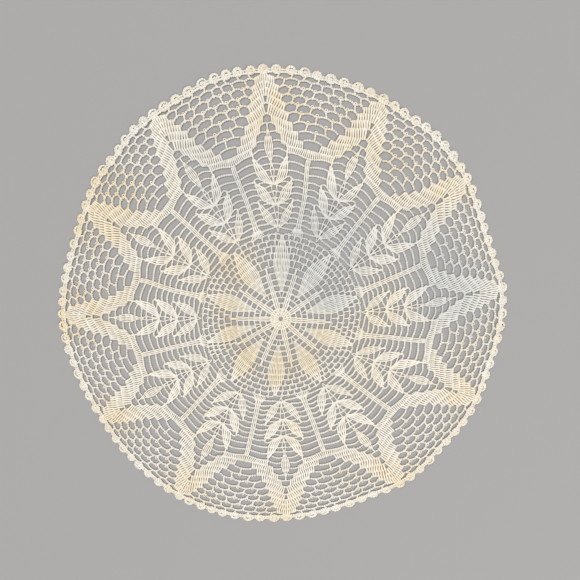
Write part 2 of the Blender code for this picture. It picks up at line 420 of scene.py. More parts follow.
def work_medallion(lace):
    for index in range(len(PETALS)):
        work_petal(lace, index)
        work_rib(lace, Chart(petal_place, index, 1.0, 0.5))
    disc = Chart(petal_place, 0)
    for low, high, count in DISC_ROWS:
        turns = [len(PETALS) * number / count for number in range(count)]
        lace.posts(disc, [(turn, low, turn, high) for turn in turns], DISC_POST)
        lace.chain([disc.at(turn, high) for turn in turns + turns[:1]], count, lace.yarn.head_lift)
    lace.chain([disc.at(number, EYE_RADIUS) for number in range(len(PETALS) + 1)], EYE_LINKS)


def work_petal(lace, index):
    petal = Chart(petal_place, index)
    for points in FOOT_CHAINS:
        lace.chain(petal.line(*points))
    for side in SIDES:
        half = Chart(petal_place, index, side)
        lace.posts(half, FOOT_POSTS, FOOT_POST)
        for near, far, radius in PETAL_RUNGS:
            lace.chain(half.line((near, radius), ((near + far) / 2.0, radius - RUNG_SAG), (far, radius)))
        lace.chain(half.line(*RIB_CHAIN), width=RIB_LINK)
    lace.chain(petal.line(*PETAL_CHAIN))
    lace.rows(petal, PETAL_ROWS)
    lace.posts(petal, TIP_POSTS)


def work_rib(lace, rib):
    lace.rows(rib, RIB_ROWS)
    lace.posts(rib, RIB_POSTS)
    lace.picot(rib, *RIB_PICOT)
    rise, ahead, size = MEDALLION_PICOT
    for net in MEDALLION_NET:
        uprights = lace.uprights(net.uprights, MEDALLION_STRAY)
        for turn in uprights:
            place = (turn * MEDALLION_FOOT, net.low, turn, net.high - MEDALLION_GAP)
            lace.posts(rib, [place], MEDALLION_POST)
            lace.picot(rib, turn, net.high + rise, ahead, size)
        stops = [-net.edge] + uprights + [net.edge]
        lace.loops(rib, lambda turn: net.high, stops, MEDALLION_ARCH, MEDALLION_LINK)


# --- The sprays -------------------------------------------------------------------

# A leaf's rounds from its base to its tip: inner end, outer end and the posts under it.
Round = namedtuple("Round", "inner inner_radius outer outer_radius posts")
LEAVES = {
    "lower": [
        Round(0.012, 0.386, 0.070, 0.385, 0),
        Round(0.066, 0.413, 0.210, 0.401, 5),
        Round(0.108, 0.440, 0.282, 0.425, 6),
        Round(0.185, 0.460, 0.302, 0.447, 5),
        Round(0.250, 0.481, 0.320, 0.474, 3),
        Round(0.298, 0.500, 0.322, 0.496, 1),
    ],
    "middle": [
        Round(0.012, 0.477, 0.070, 0.474, 0),
        Round(0.058, 0.502, 0.214, 0.495, 5),
        Round(0.095, 0.526, 0.275, 0.522, 6),
        Round(0.152, 0.548, 0.287, 0.547, 5),
        Round(0.228, 0.565, 0.299, 0.564, 3),
        Round(0.274, 0.582, 0.298, 0.578, 1),
    ],
    "upper": [
        Round(0.012, 0.560, 0.070, 0.558, 0),
        Round(0.052, 0.586, 0.198, 0.580, 5),
        Round(0.090, 0.612, 0.236, 0.612, 5),
        Round(0.145, 0.638, 0.238, 0.645, 4),
        Round(0.196, 0.658, 0.235, 0.664, 2),
        Round(0.219, 0.692, 0.231, 0.692, 1),
    ],
}
TOP_LEAF_ROWS = [
    (0.630, 0.655, 0.008, 0.024, 3),
    (0.655, 0.680, 0.026, 0.048, 4),
    (0.680, 0.708, 0.050, 0.058, 5),
    (0.708, 0.735, 0.056, 0.040, 5),
    (0.735, 0.760, 0.034, 0.012, 3),
]


def work_leaves(lace):
    for index in range(len(SPRAYS)):
        for side in SIDES:
            half = Chart(outer_place, index, side)
            for rounds in LEAVES.values():
                for low, high in zip(rounds, rounds[1:]):
                    foot = half.line((low.inner, low.inner_radius), (low.outer, low.outer_radius))
                    head = half.line((high.inner, high.inner_radius), (high.outer, high.outer_radius))
                    lace.row(foot, head, high.posts)
        lace.rows(Chart(outer_place, index), TOP_LEAF_ROWS)


# Posts of a stem on one side: the turn and radius of foot and head.
STEM_POSTS = [
    (0.004, 0.364, 0.034, 0.385),
    (0.008, 0.388, 0.009, 0.413),
    (0.010, 0.413, 0.036, 0.442),
    (0.041, 0.444, 0.038, 0.473),
    (0.008, 0.476, 0.008, 0.501),
    (0.010, 0.502, 0.032, 0.528),
    (0.040, 0.531, 0.036, 0.556),
    (0.008, 0.559, 0.008, 0.585),
    (0.010, 0.586, 0.028, 0.612),
    (0.022, 0.614, 0.008, 0.633),
]
STEM_POST = 0.52
# Chains between the stem, the leaves and the band on one side.
STEM_CHAINS = [
    [(0.0, 0.389), (0.035, 0.390), (0.066, 0.387)],
    [(0.0, 0.414), (0.035, 0.4145), (0.070, 0.412)],
    [(0.0, 0.444), (0.050, 0.4415), (0.105, 0.438)],
    [(0.0, 0.475), (0.045, 0.470), (0.095, 0.4645), (0.150, 0.459), (0.185, 0.459)],
    [(0.045, 0.479), (0.140, 0.482), (0.230, 0.481)],
    [(0.0, 0.501), (0.058, 0.502)],
    [(0.200, 0.497), (0.250, 0.502), (0.290, 0.503), (0.316, 0.495)],
    [(0.0, 0.530), (0.045, 0.527), (0.095, 0.525)],
    [(0.0, 0.557), (0.055, 0.551), (0.105, 0.5475), (0.150, 0.544)],
    [(0.045, 0.560), (0.130, 0.567), (0.170, 0.568), (0.228, 0.566)],
    [(0.0, 0.586), (0.052, 0.587)],
    [(0.185, 0.582), (0.230, 0.589), (0.268, 0.587), (0.294, 0.577)],
    [(0.0, 0.613), (0.045, 0.614), (0.090, 0.613)],
    [(0.008, 0.636), (0.060, 0.6365), (0.140, 0.634)],
    [(0.036, 0.6655), (0.100, 0.666), (0.150, 0.660), (0.190, 0.652)],
    [(0.058, 0.692), (0.120, 0.694), (0.170, 0.688), (0.222, 0.680)],
    [(0.055, 0.7225), (0.110, 0.724), (0.170, 0.719), (0.208, 0.711)],
    [(0.022, 0.7545), (0.080, 0.757), (0.148, 0.750)],
    [(0.0, 0.786), (0.045, 0.787), (0.085, 0.782)],
    [(0.0, 0.822), (0.040, 0.816)],
    [(0.0, 0.861), (0.022, 0.857)],
    [(0.0, 0.889), (0.016, 0.887)],
]
LEAF_TIP_POSTS = [(0.0, 0.758, 0.0, 0.786)]
LEAF_TIP_POST = 0.66


def work_stems(lace):
    for index in range(len(SPRAYS)):
        for side in SIDES:
            half = Chart(outer_place, index, side)
            lace.posts(half, STEM_POSTS, STEM_POST)
            for points in STEM_CHAINS:
                lace.chain(half.line(*points))
        lace.posts(Chart(outer_place, index), LEAF_TIP_POSTS, LEAF_TIP_POST)


# --- The ladders: bars, and the rungs between them and the leaves -------------------

# The fan that a bar stands on, in each half: the turn and radius of foot and head of its
# posts, and the chain beside it.
FAN_POSTS = [
    (0.022, 0.3565, 0.012, 0.385),
    (0.066, 0.3575, 0.034, 0.385),
    (0.110, 0.3600, 0.054, 0.385),
    (0.146, 0.3640, 0.066, 0.384),
]
FAN_POST = 0.58
FAN_CHAIN = [(0.066, 0.390), (0.088, 0.3805), (0.124, 0.3765)]
# A bar's rounds: radius, half its width in turns, and the posts above.
BAR_ROUNDS = [
    (0.386, 0.074, 3),
    (0.404, 0.064, 3),
    (0.422, 0.057, 3),
    (0.445, 0.051, 3),
    (0.471, 0.047, 3),
    (0.496, 0.044, 3),
    (0.524, 0.041, 3),
    (0.549, 0.040, 3),
    (0.575, 0.038, 3),
    (0.604, 0.036, 3),
    (0.635, 0.035, 3),
    (0.658, 0.034, 0),
]
# Each rung from the leaf's side to the bar's edge.
RUNGS = [
    [(0.050, 0.3845), (0.120, 0.3800), (0.280, 0.3780), (0.378, 0.3760)],
    [(0.205, 0.400), (0.270, 0.4010), (0.350, 0.4035), (0.436, 0.4045)],
    [(0.278, 0.422), (0.330, 0.4260), (0.400, 0.4260), (0.442, 0.4225)],
    [(0.298, 0.444), (0.345, 0.4480), (0.400, 0.4490), (0.448, 0.4455)],
    [(0.318, 0.468), (0.352, 0.4730), (0.405, 0.4745), (0.452, 0.4715)],
    [(0.320, 0.495), (0.355, 0.4985), (0.405, 0.4995), (0.455, 0.4965)],
    [(0.272, 0.521), (0.320, 0.5260), (0.400, 0.5270), (0.458, 0.5245)],
    [(0.288, 0.546), (0.330, 0.5510), (0.400, 0.5520), (0.459, 0.5490)],
    [(0.295, 0.576), (0.340, 0.5780), (0.400, 0.5790), (0.461, 0.5760)],
    [(0.234, 0.612), (0.300, 0.6120), (0.380, 0.6090), (0.463, 0.6040)],
    [(0.236, 0.645), (0.300, 0.6460), (0.380, 0.6420), (0.464, 0.6355)],
]
RUNG_LINK = 1.1
TOP_RUNG = (0.220, 0.500)  # the last rung runs along the band between these turns
TOP_RUNG_LINK = 0.9


def work_ladders(lace):
    for index in range(len(SPRAYS)):
        bar = Chart(outer_place, index, 1.0, -0.5)
        for (low, half_low, count), (high, half_high, _) in zip(BAR_ROUNDS, BAR_ROUNDS[1:]):
            lace.rows(bar, [(low, high, half_low, half_high, count)])
        for side in SIDES:
            fan = Chart(outer_place, index, side, -0.5)
            lace.posts(fan, FAN_POSTS, FAN_POST)
            lace.chain(fan.line(*FAN_CHAIN))
            half = Chart(outer_place, index, side)
            for points in RUNGS:
                lace.chain(half.line(*points), width=RUNG_LINK)
            lace.chain(band_line(half, BAND_ROUNDS[0], *TOP_RUNG), width=TOP_RUNG_LINK)


# --- The star band ------------------------------------------------------------------

# The band's rounds, as turn and radius from the spray's axis outwards.
BAND_ROUNDS = [
    [(0.210, 0.680), (0.300, 0.679), (0.360, 0.676), (0.420, 0.670), (0.500, 0.665)],
    [(0.150, 0.715), (0.210, 0.704), (0.350, 0.697), (0.500, 0.694)],
    [(0.085, 0.756), (0.150, 0.744), (0.230, 0.728), (0.300, 0.723), (0.420, 0.724)],
    [(0.030, 0.787), (0.085, 0.779), (0.140, 0.768), (0.200, 0.759), (0.260, 0.755), (0.345, 0.757)],
    [(0.000, 0.822), (0.050, 0.813), (0.100, 0.803), (0.200, 0.790), (0.280, 0.786)],
    [(0.000, 0.861), (0.040, 0.853), (0.100, 0.839), (0.200, 0.824), (0.228, 0.822)],
    [(0.000, 0.889), (0.050, 0.883), (0.100, 0.873), (0.190, 0.856)],
    [(0.000, 0.913), (0.050, 0.908), (0.100, 0.900), (0.160, 0.887)],
    [(0.000, 0.937), (0.060, 0.932), (0.130, 0.918)],
    [(0.000, 0.960), (0.050, 0.957), (0.095, 0.949)],
    [(0.000, 0.974), (0.050, 0.973)],
]
# Its rows, each from one round to the next: where it starts and ends on either, in turns,
# and its posts.
BandRow = namedtuple("BandRow", "inner_low outer_low inner_high outer_high posts")
BAND_ROWS = [
    BandRow(0.218, 0.500, 0.206, 0.500, 12),
    BandRow(0.146, 0.412, 0.134, 0.399, 11),
    BandRow(0.086, 0.342, 0.078, 0.326, 11),
    BandRow(0.044, 0.277, 0.036, 0.257, 10),
    BandRow(0.004, 0.205, 0.022, 0.221, 9),
    BandRow(0.003, 0.174, 0.016, 0.187, 8),
    BandRow(0.000, 0.146, 0.000, 0.157, 7),
    BandRow(0.000, 0.116, 0.000, 0.127, 6),
    BandRow(0.000, 0.092, 0.000, 0.087, 5),
    BandRow(0.000, 0.036, 0.000, 0.032, 2),
]
BAND_LEAN = 0.05  # how far the posts lean out towards the bars, as a share of the row
BAND_OVERLAP = (0.94, 1.06)  # how wide they are for their spacing in the first row, and the last
BAND_STEPS = 8


def radius_on(line, turn):
    """The radius of a line of (turn, radius) at a turn."""
    for here, there in zip(line, line[1:]):
        if turn <= there[0]:
            break
    return between(here[1], there[1], (turn - here[0]) / (there[0] - here[0]))


def band_line(half, line, inner, outer):
    turns = [between(inner, outer, step / BAND_STEPS) for step in range(BAND_STEPS + 1)]
    return half.line(*[(turn, radius_on(line, turn)) for turn in turns])


def work_band(lace):
    for index in range(len(SPRAYS)):
        for side in SIDES:
            half = Chart(outer_place, index, side)
            for number, row in enumerate(BAND_ROWS):
                overlap = between(*BAND_OVERLAP, number / (len(BAND_ROWS) - 1))
                low = band_line(half, BAND_ROUNDS[number], row.inner_low, row.outer_low)
                high = band_line(half, BAND_ROUNDS[number + 1], row.inner_high, row.outer_high)
                lace.row(low, high, row.posts, BAND_LEAN, overlap)


# --- The net ------------------------------------------------------------------------

# The net between two points of the band, from the valley out: the radius of the chain
# above each row, the uprights' turns from the bar, where that chain meets the band, and
# how high its loops rise.
NetRow = namedtuple("NetRow", "radius uprights edge edge_radius arch")
NET_FOOT = NetRow(0.694, (), 0.105, 0.694, 0.0)
NET_ROWS = [
    NetRow(0.7350, (), 0.100, 0.7290, 0.0),
    NetRow(0.7650, (0.0,), 0.165, 0.760, 0.002),
    NetRow(0.7955, (0.092,), 0.232, 0.790, 0.005),
    NetRow(0.8285, (0.0, 0.155), 0.284, 0.824, 0.005),
    NetRow(0.8580, (0.070, 0.205), 0.318, 0.856, 0.007),
    NetRow(0.8860, (0.0, 0.120, 0.240), 0.348, 0.888, 0.0075),
    NetRow(0.9175, (0.058, 0.172, 0.288), 0.376, 0.918, 0.0075),
    NetRow(0.9480, (0.0, 0.098, 0.205, 0.320), 0.412, 0.949, 0.004),
    NetRow(0.9715, (0.045, 0.145, 0.250, 0.365), 0.466, 0.9715, 0.001),
]
NET_LINK = 1.14
UPRIGHT_LINKS = 2
UPRIGHT_LEAN = 0.018  # how far, in turns, an upright's foot stands out from its head
LEAN_WITHIN = 0.06  # nearer the bar than this, in turns, it leans less
UPRIGHT_STRAY = 0.011  # how far, in turns, it may stand from its place
UPRIGHT_GAP = 0.003  # how far its ends stop from the middle of the chains
PICOTS_WITHIN = 0.94  # the rows further out have no picots
NET_PICOT = (0.005, 0.015)  # how far a picot is above the chain, and ahead
NET_PICOT_SIZES = (0.95, 1.20)


def work_net(lace):
    rise, ahead = NET_PICOT
    for index in range(len(SPRAYS)):
        bar = Chart(outer_place, index, 1.0, -0.5)
        for lower, row in zip([NET_FOOT] + NET_ROWS, NET_ROWS):
            uprights = lace.uprights(row.uprights, UPRIGHT_STRAY)
            for turn in uprights:
                aside = clamp(abs(turn) / LEAN_WITHIN) * math.copysign(UPRIGHT_LEAN, turn)
                foot = net_radius(lower, turn) + UPRIGHT_GAP
                head = net_radius(row, turn)
                points = bar.line((turn + aside, foot), (turn, head - UPRIGHT_GAP))
                lace.chain(points, UPRIGHT_LINKS, width=NET_LINK)
                if row.radius < PICOTS_WITHIN:
                    lace.picot(bar, turn, head + rise, ahead, lace.hand.uniform(*NET_PICOT_SIZES))
            stops = [-row.edge] + uprights + [row.edge]
            lace.loops(bar, lambda turn: net_radius(row, turn), stops, row.arch, NET_LINK)


def net_radius(row, turn):
    """The radius of a net row's chain, which sags from the bar's line to the band."""
    return between(row.radius, row.edge_radius, (turn / row.edge) ** 2)


# --- The rim ------------------------------------------------------------------------

# A knob is a whorl of chain: its middle, its reach, and where the whorl starts, as radii.
KNOB_MIDDLE = 0.9815
KNOB_REACH = 0.0160
KNOB_REACHES = (0.84, 1.03)  # the least and the most of that reach which a knob has
KNOB_WIDE = 1.25  # how much further it reaches along the rim
KNOB_STRAY = 0.008  # how far, in turns, it may stand from its place
KNOB_LINK = 1.2
WHORL_START = 0.0040
WHORL_ROUNDS = 2.2
WHORL_STEPS = 26
RIM_LINES = (0.9735, 0.9820)  # the chains along the rim that the knobs stand on
RIM_LINKS = 5  # in one scallop
RIM_LINK = 1.15
ONE_TURN = math.tau * KNOB_MIDDLE / len(SPRAYS)  # how long a whole turn is there, as a radius


def work_rim(lace):
    half = 0.5 / SCALLOPS
    for index in range(len(SPRAYS)):
        for number in range(SCALLOPS):
            knob = Chart(outer_place, index, 1.0, (number + 0.5) / SCALLOPS - 0.5)
            for radius in RIM_LINES:
                points = knob.line((-half, radius), (0.0, radius), (half, radius))
                lace.chain(points, RIM_LINKS, width=RIM_LINK)
            work_knob(lace, knob)


def work_knob(lace, knob):
    reach = KNOB_REACH * lace.hand.uniform(*KNOB_REACHES)
    middle = lace.hand.uniform(-KNOB_STRAY, KNOB_STRAY)
    turned = lace.hand.uniform(0.0, math.tau)
    points = []
    for step in range(WHORL_STEPS + 1):
        share = step / WHORL_STEPS
        angle = turned + WHORL_ROUNDS * math.tau * share
        size = min(reach, between(WHORL_START, reach, share * WHORL_ROUNDS / (WHORL_ROUNDS - 1.0)))
        aside, out = size * math.sin(angle), size * math.cos(angle)
        points.append((middle + aside * KNOB_WIDE / ONE_TURN, KNOB_MIDDLE + out))
    lace.chain(knob.line(*points), None, lace.yarn.head_lift, KNOB_LINK)


# --- Base stitches ------------------------------------------------------------------

# The rings of a strand: their place along the stitch, aside and up, and half their width
# and thickness.  Those along it are in shares of its length, and the others of its width.
PLY_RINGS = [
    (-0.22, 0.12, -0.08, 0.15, 0.14),
    (0.42, 0.25, 0.04, 0.26, 0.22),
    (1.06, 0.13, 0.12, 0.20, 0.16),
]
PLY_SIDES = 4
PLY_CROWN = 0.45  # how much more of a ply faces up than of round yarn, for its shade
POST_RINGS = [
    (-0.05, 0.0, -0.03, 0.36, 0.20),
    (0.16, 0.0, 0.01, 0.43, 0.29),
    (0.52, 0.0, 0.03, 0.46, 0.31),
    (0.82, 0.0, 0.03, 0.55, 0.30),
    (1.04, 0.0, 0.03, 0.56, 0.21),
]
POST_SIDES = 6
# How much less of a post faces up than of round yarn, which deepens its painted shade down the flanks.
POST_CROWN = -0.12
PICOT_RADIUS = 0.29  # to the middle of its yarn, for its size
PICOT_YARN = 0.21  # the yarn's own radius
PICOT_SIDES = 4
PICOT_STEPS = 8
TONE_SHIFT = 0.01  # metres between the ply patterns of the darkest stitch and the lightest
BAKE_WIDTH = 2.2 * REACH_Y  # metres from edge to edge of the OFBake map, laid on from above

BaseStitch = namedtuple("BaseStitch", "points faces yarn")


def strand(bm, rings, sides, length, width):
    """A closed strand through rings.

    The yarn layer keeps the way along it in metres, and the two shares of its cross
    section, aside and up.
    """
    yarn = bm.verts.layers.float_vector["yarn"]
    verts = bmesh.ops.create_circle(bm, cap_ends=True, segments=sides, radius=1.0)["verts"]
    for vert in verts:
        vert[yarn] = (0.0, vert.co.x, vert.co.y)
    face = verts[0].link_faces[0]
    run, before = 0.0, None
    for number, (ahead, aside, up, half_wide, half_thick) in enumerate(rings):
        place = (ahead * length, aside * width, up * width)
        if number:
            grown = bmesh.ops.extrude_face_region(bm, geom=[face, *face.edges])["geom"]
            verts = [item for item in grown if isinstance(item, bmesh.types.BMVert)]
            face = [item for item in grown if isinstance(item, bmesh.types.BMFace)][0]
            run += math.dist(before, place)
        for vert in verts:
            vert.co = (ahead, aside + half_wide * vert[yarn].y, up + half_thick * vert[yarn].z)
            vert[yarn] = (run, vert[yarn].y, vert[yarn].z)
        before = place


def new_stitch():
    bm = bmesh.new()
    bm.verts.layers.float_vector.new("yarn")
    return bm


def base_stitch(bm, crown=0.0):
    """The points, faces and yarn values of a stitch of one unit.

    The faces are sorted, each from its lowest corner, so that every run gives the same mesh.
    """
    bmesh.ops.recalc_face_normals(bm, faces=bm.faces[:])
    layer = bm.verts.layers.float_vector["yarn"]
    bm.verts.index_update()
    points = np.array([vert.co[:] for vert in bm.verts])
    yarn = np.array([vert[layer][:] for vert in bm.verts]) + (0.0, 0.0, crown)
    faces = []
    for face in bm.faces:
        corners = [vert.index for vert in face.verts]
        lowest = corners.index(min(corners))
        faces.append(corners[lowest:] + corners[:lowest])
    bm.free()
    return BaseStitch(points, sorted(faces), yarn)


def chain_link(yarn):
    """Two plies that leave the last link together, part, and close: a V seen from above."""
    bm = new_stitch()
    for side in SIDES:
        rings = [(ahead, aside * side, *rest) for ahead, aside, *rest in PLY_RINGS]
        strand(bm, rings, PLY_SIDES, yarn.link_length, yarn.link_width)
    return base_stitch(bm, PLY_CROWN)


def tall_post(yarn):
    """A column that is narrow at its foot and widens to its head."""
    bm = new_stitch()
    strand(bm, POST_RINGS, POST_SIDES, yarn.post_length, yarn.post_width)
    return base_stitch(bm, POST_CROWN)


def picot_ring(yarn):
    """A small ring of yarn, lying flat round its place."""
    bm = new_stitch()
    layer = bm.verts.layers.float_vector["yarn"]
    for vert in bmesh.ops.create_circle(bm, segments=PICOT_SIDES, radius=PICOT_YARN)["verts"]:
        vert[layer] = (0.0, vert.co.x / PICOT_YARN, vert.co.y / PICOT_YARN)
        vert.co = (PICOT_RADIUS + vert.co.x, 0.0, vert.co.y)
    bmesh.ops.spin(
        bm,
        geom=bm.verts[:] + bm.edges[:],
        cent=(0.0, 0.0, 0.0),
        axis=(0.0, 0.0, 1.0),
        angle=math.tau,
        steps=PICOT_STEPS,
        use_merge=True,
    )
    for vert in bm.verts:
        angle = math.atan2(vert.co.y, vert.co.x) % math.tau
        vert[layer].x = angle * PICOT_RADIUS * yarn.picot_size
    return base_stitch(bm)


def placed(unit, kind, laid, lie_height):
    """The points and yarn values of all the stitches of one kind, and their tones."""
    start, end, width, lift, tone = (np.array(column) for column in zip(*laid))
    reach = end - start
    size = np.linalg.norm(reach, axis=1)
    ahead = reach / size[:, None]
    aside = np.stack([-ahead[:, 1], ahead[:, 0]], axis=1)
    length = width if kind == "picot" else size
    flat = (
        start[:, None, :]
        + ahead[:, None, :] * (unit.points[None, :, 0] * length[:, None])[..., None]
        + aside[:, None, :] * (unit.points[None, :, 1] * width[:, None])[..., None]
    )
    high = lie_height + lift[:, None] + unit.points[None, :, 2] * width[:, None]
    yarn = np.repeat(unit.yarn[None], len(laid), axis=0)
    yarn[..., 0] += tone[:, None] * TONE_SHIFT
    points = np.concatenate([flat, high[..., None]], axis=2)
    return points.reshape(-1, 3), yarn.reshape(-1, 3), np.repeat(tone, len(unit.points))


def joined(lace, name, base):
    """One mesh of all the stitches that a lace holds, with its yarn and tone values."""
    points, yarn, tones, faces = [], [], [], []
    first = 0
    for kind, laid in lace.laid.items():
        if not laid:
            continue
        unit = base[kind]
        for values, new in zip((points, yarn, tones), placed(unit, kind, laid, lace.yarn.lie_height)):
            values.append(new)
        for _ in laid:
            faces += [[first + corner for corner in face] for face in unit.faces]
            first += len(unit.points)
    points, yarn, tones = (np.concatenate(values) for values in (points, yarn, tones))
    mesh = bpy.data.meshes.new(name)
    mesh.from_pydata(points.tolist(), [], faces)
    mesh.attributes.new("yarn", "FLOAT_VECTOR", "POINT").data.foreach_set("vector", yarn.ravel())
    mesh.attributes.new("tone", "FLOAT", "POINT").data.foreach_set("value", tones)
    corners = np.empty(len(mesh.loops), dtype=np.int32)
    mesh.loops.foreach_get("vertex_index", corners)
    from_above = points[corners][:, :2] / BAKE_WIDTH + 0.5
    mesh.uv_layers.new(name="OFBake").data.foreach_set("uv", from_above.ravel())
    mesh.polygons.foreach_set("use_smooth", [True] * len(mesh.polygons))
    mesh.update()
    return mesh


# --- Materials ------------------------------------------------------------------------


MIX_COLOURS = (6, 7)  # the colour sockets of a Mix node, and of its result
MIX_RESULT = 2


class Value:
    """A value in a material, which adds its own Math nodes as it is worked with."""

    def __init__(self, bench, socket):
        self.bench = bench
        self.socket = socket

    def math(self, operation, first, second=0.0):
        return self.bench.node("ShaderNodeMath", {"operation": operation}, {0: first, 1: second})

    def __add__(self, other):
        return self.math("ADD", self, other)

    def __sub__(self, other):
        return self.math("SUBTRACT", self, other)

    def __mul__(self, other):
        return self.math("MULTIPLY", self, other)

    def __radd__(self, other):
        return self.math("ADD", other, self)

    def __rsub__(self, other):
        return self.math("SUBTRACT", other, self)

    def __rmul__(self, other):
        return self.math("MULTIPLY", other, self)

    def sine(self):
        return self.math("SINE", self)

    def ranged(self, low, high):
        """0 at low, 1 at high, and smooth between."""
        values = {"Value": self, "From Min": low, "From Max": high}
        return self.bench.node("ShaderNodeMapRange", {"interpolation_type": "SMOOTHSTEP"}, values)


class Bench:
    """The nodes of one material."""

    def __init__(self, name):
        self.material = bpy.data.materials.new(name)
        self.material.use_nodes = True
        self.nodes = self.material.node_tree.nodes
        self.links = self.material.node_tree.links
        self.shader = self.nodes["Principled BSDF"]

    def node(self, kind, settings=None, values=None, output=0):
        """A node of one kind, its settings made first, then the values of its sockets."""
        node = self.nodes.new(kind)
        for name, setting in (settings or {}).items():
            setattr(node, name, setting)
        for name, value in (values or {}).items():
            self.give(node.inputs[name], value)
        return Value(self, node.outputs[output])

    def give(self, socket, value):
        if isinstance(value, Value):
            self.links.new(value.socket, socket)
        else:
            socket.default_value = value

    def noise(self, place, scale, detail, roughness=0.5):
        values = {"Vector": place, "Scale": scale, "Detail": detail, "Roughness": roughness}
        return self.node("ShaderNodeTexNoise", {}, values)

    def clamped(self, value):
        return self.node("ShaderNodeClamp", {}, {"Value": value})

    def blend(self, share, first, second, mode="MIX"):
        """A Mix of two colours, each a Value or a plain colour."""
        values = {0: share}
        for socket, colour in zip(MIX_COLOURS, (first, second)):
            values[socket] = colour if isinstance(colour, Value) else (*colour, 1.0)
        return self.node("ShaderNodeMix", {"data_type": "RGBA", "blend_type": mode}, values, MIX_RESULT)


PLY_PITCH = 0.0012  # metres along the yarn for one turn of its plies
PLIES = 2.0
PLACE_CORE = 0.2  # the share of its reach within which a place has its full strength

# Places where the cotton has yellowed, as X, Y, reach in metres, and how much.
AGED_PLACES = [
    (-0.206, 0.106, 0.070, 1.5),
    (-0.238, -0.011, 0.050, 1.4),
    (-0.200, -0.130, 0.045, 0.8),
    (-0.115, -0.222, 0.045, 0.7),
    (0.008, -0.245, 0.040, 0.6),
    (0.136, -0.202, 0.035, 1.0),
    (0.218, -0.103, 0.035, 0.8),
    (0.197, 0.134, 0.040, 0.7),
    (0.130, 0.165, 0.050, 0.6),
    (0.109, 0.214, 0.035, 0.3),
    (0.060, 0.195, 0.050, 0.6),
    (-0.015, 0.230, 0.060, 0.8),
    (-0.045, 0.045, 0.035, 0.9),
    (-0.058, -0.004, 0.025, 0.9),
    (-0.055, -0.033, 0.026, 1.4),
    (-0.037, -0.063, 0.030, 1.3),
    (-0.003, -0.076, 0.030, 1.3),
    (0.034, -0.065, 0.028, 0.9),
    (0.055, -0.036, 0.028, 0.5),
]
# Places with painted cool shade, as X, Y, reach in metres, and how much.
COOL_SHADE_PLACES = [
    (0.050, 0.070, 0.095, 1.1),
    (0.200, 0.015, 0.070, 1.0),
    (0.170, 0.070, 0.060, 0.7),
    (-0.055, 0.130, 0.060, 0.7),
    (-0.098, 0.177, 0.040, 0.5),
    (0.062, 0.006, 0.035, 0.6),
]


def near_places(bench, place, places):
    """How close a point is to some soft-edged places, from 0 to 1."""
    total = None
    for x, y, reach, strength in places:
        ends = {0: place, 1: (x, y, 0.0)}
        away = bench.node("ShaderNodeVectorMath", {"operation": "DISTANCE"}, ends, "Value")
        share = (1.0 - away.ranged(reach * PLACE_CORE, reach)) * strength
        total = share if total is None else total + share
    return total


def crochet_cotton(colours):
    bench = Bench("crochet cotton")
    place = bench.node("ShaderNodeTexCoord", output="Object")
    yarn = bench.node("ShaderNodeAttribute", {"attribute_name": "yarn"}, output="Vector")
    tone = bench.node("ShaderNodeAttribute", {"attribute_name": "tone"}, output="Fac")
    run = bench.node("ShaderNodeSeparateXYZ", {}, {0: yarn}, "X")
    across = bench.node("ShaderNodeSeparateXYZ", {}, {0: yarn}, "Y")
    over = bench.node("ShaderNodeSeparateXYZ", {}, {0: yarn}, "Z")
    angle = bench.node("ShaderNodeMath", {"operation": "ARCTAN2"}, {0: over, 1: across})
    ply = (run * (math.tau / PLY_PITCH) + angle * PLIES).sine() * 0.5 + 0.5
    fibre = bench.noise(place, 1900.0, 3.0, 0.6)
    soft = bench.noise(place, 420.0, 2.0)

    warm = bench.noise(place, 13.0, 3.0, 0.55).ranged(0.42, 0.72)
    blotch = bench.noise(place, 34.0, 2.0).ranged(0.20, 0.62)
    aged = bench.clamped(warm * 0.55 + near_places(bench, place, AGED_PLACES) * blotch)
    cool_shade_share = bench.clamped(near_places(bench, place, COOL_SHADE_PLACES))
    colour = bench.blend(aged, tuple(colours.ivory), tuple(colours.aged))
    # Painted cool shade: a darker, cooler grey mixed in near those places.
    colour = bench.blend(cool_shade_share * 0.75, colour, tuple(colours.cool_shade))
    # Each darkens the colour towards the groove colour: the first two are painted shade, the last two a tone
    # that differs at random.
    for shade in (
        (1.0 - over.ranged(0.0, 0.85)) * 0.92,  # painted shade down the flanks of the yarn, where they face sideways
        (1.0 - ply) * 0.11,  # painted shade in the valleys between its plies
        tone * 0.17,  # from stitch to stitch
        soft.ranged(0.35, 0.75) * 0.09,  # in soft patches
    ):
        colour = bench.blend(shade, colour, tuple(colours.groove), "MULTIPLY")
    bench.give(bench.shader.inputs["Base Color"], colour)
    bench.give(bench.shader.inputs["Roughness"], 0.78 + fibre * 0.14)
    bench.give(bench.shader.inputs["Specular IOR Level"], 0.25)
    bench.give(bench.shader.inputs["Sheen Weight"], 0.25)
    bench.give(bench.shader.inputs["Sheen Roughness"], 0.5)
    height = ply * 0.45 + fibre * 0.30 + soft * 0.25
    values = {"Strength": 0.65, "Distance": 0.00022, "Height": height}
    bench.give(bench.shader.inputs["Normal"], bench.node("ShaderNodeBump", {}, values))
    return bench.material


def plain_floor(colour):
    bench = Bench("plain floor")
    bench.give(bench.shader.inputs["Base Color"], (*colour, 1.0))
    bench.give(bench.shader.inputs["Roughness"], 0.9)
    bench.give(bench.shader.inputs["Specular IOR Level"], 0.1)
    return bench.material


# --- Settings and operators ---------------------------------------------------------------


def length_setting(name, description, default):
    return FloatProperty(name=name, description=description, default=default, unit="LENGTH")


def colour_setting(name, description, default):
    return FloatVectorProperty(name=name, description=description, default=default, subtype="COLOR")


def power_setting(name, description, default):
    return FloatProperty(name=name, description=description, default=default, unit="POWER")


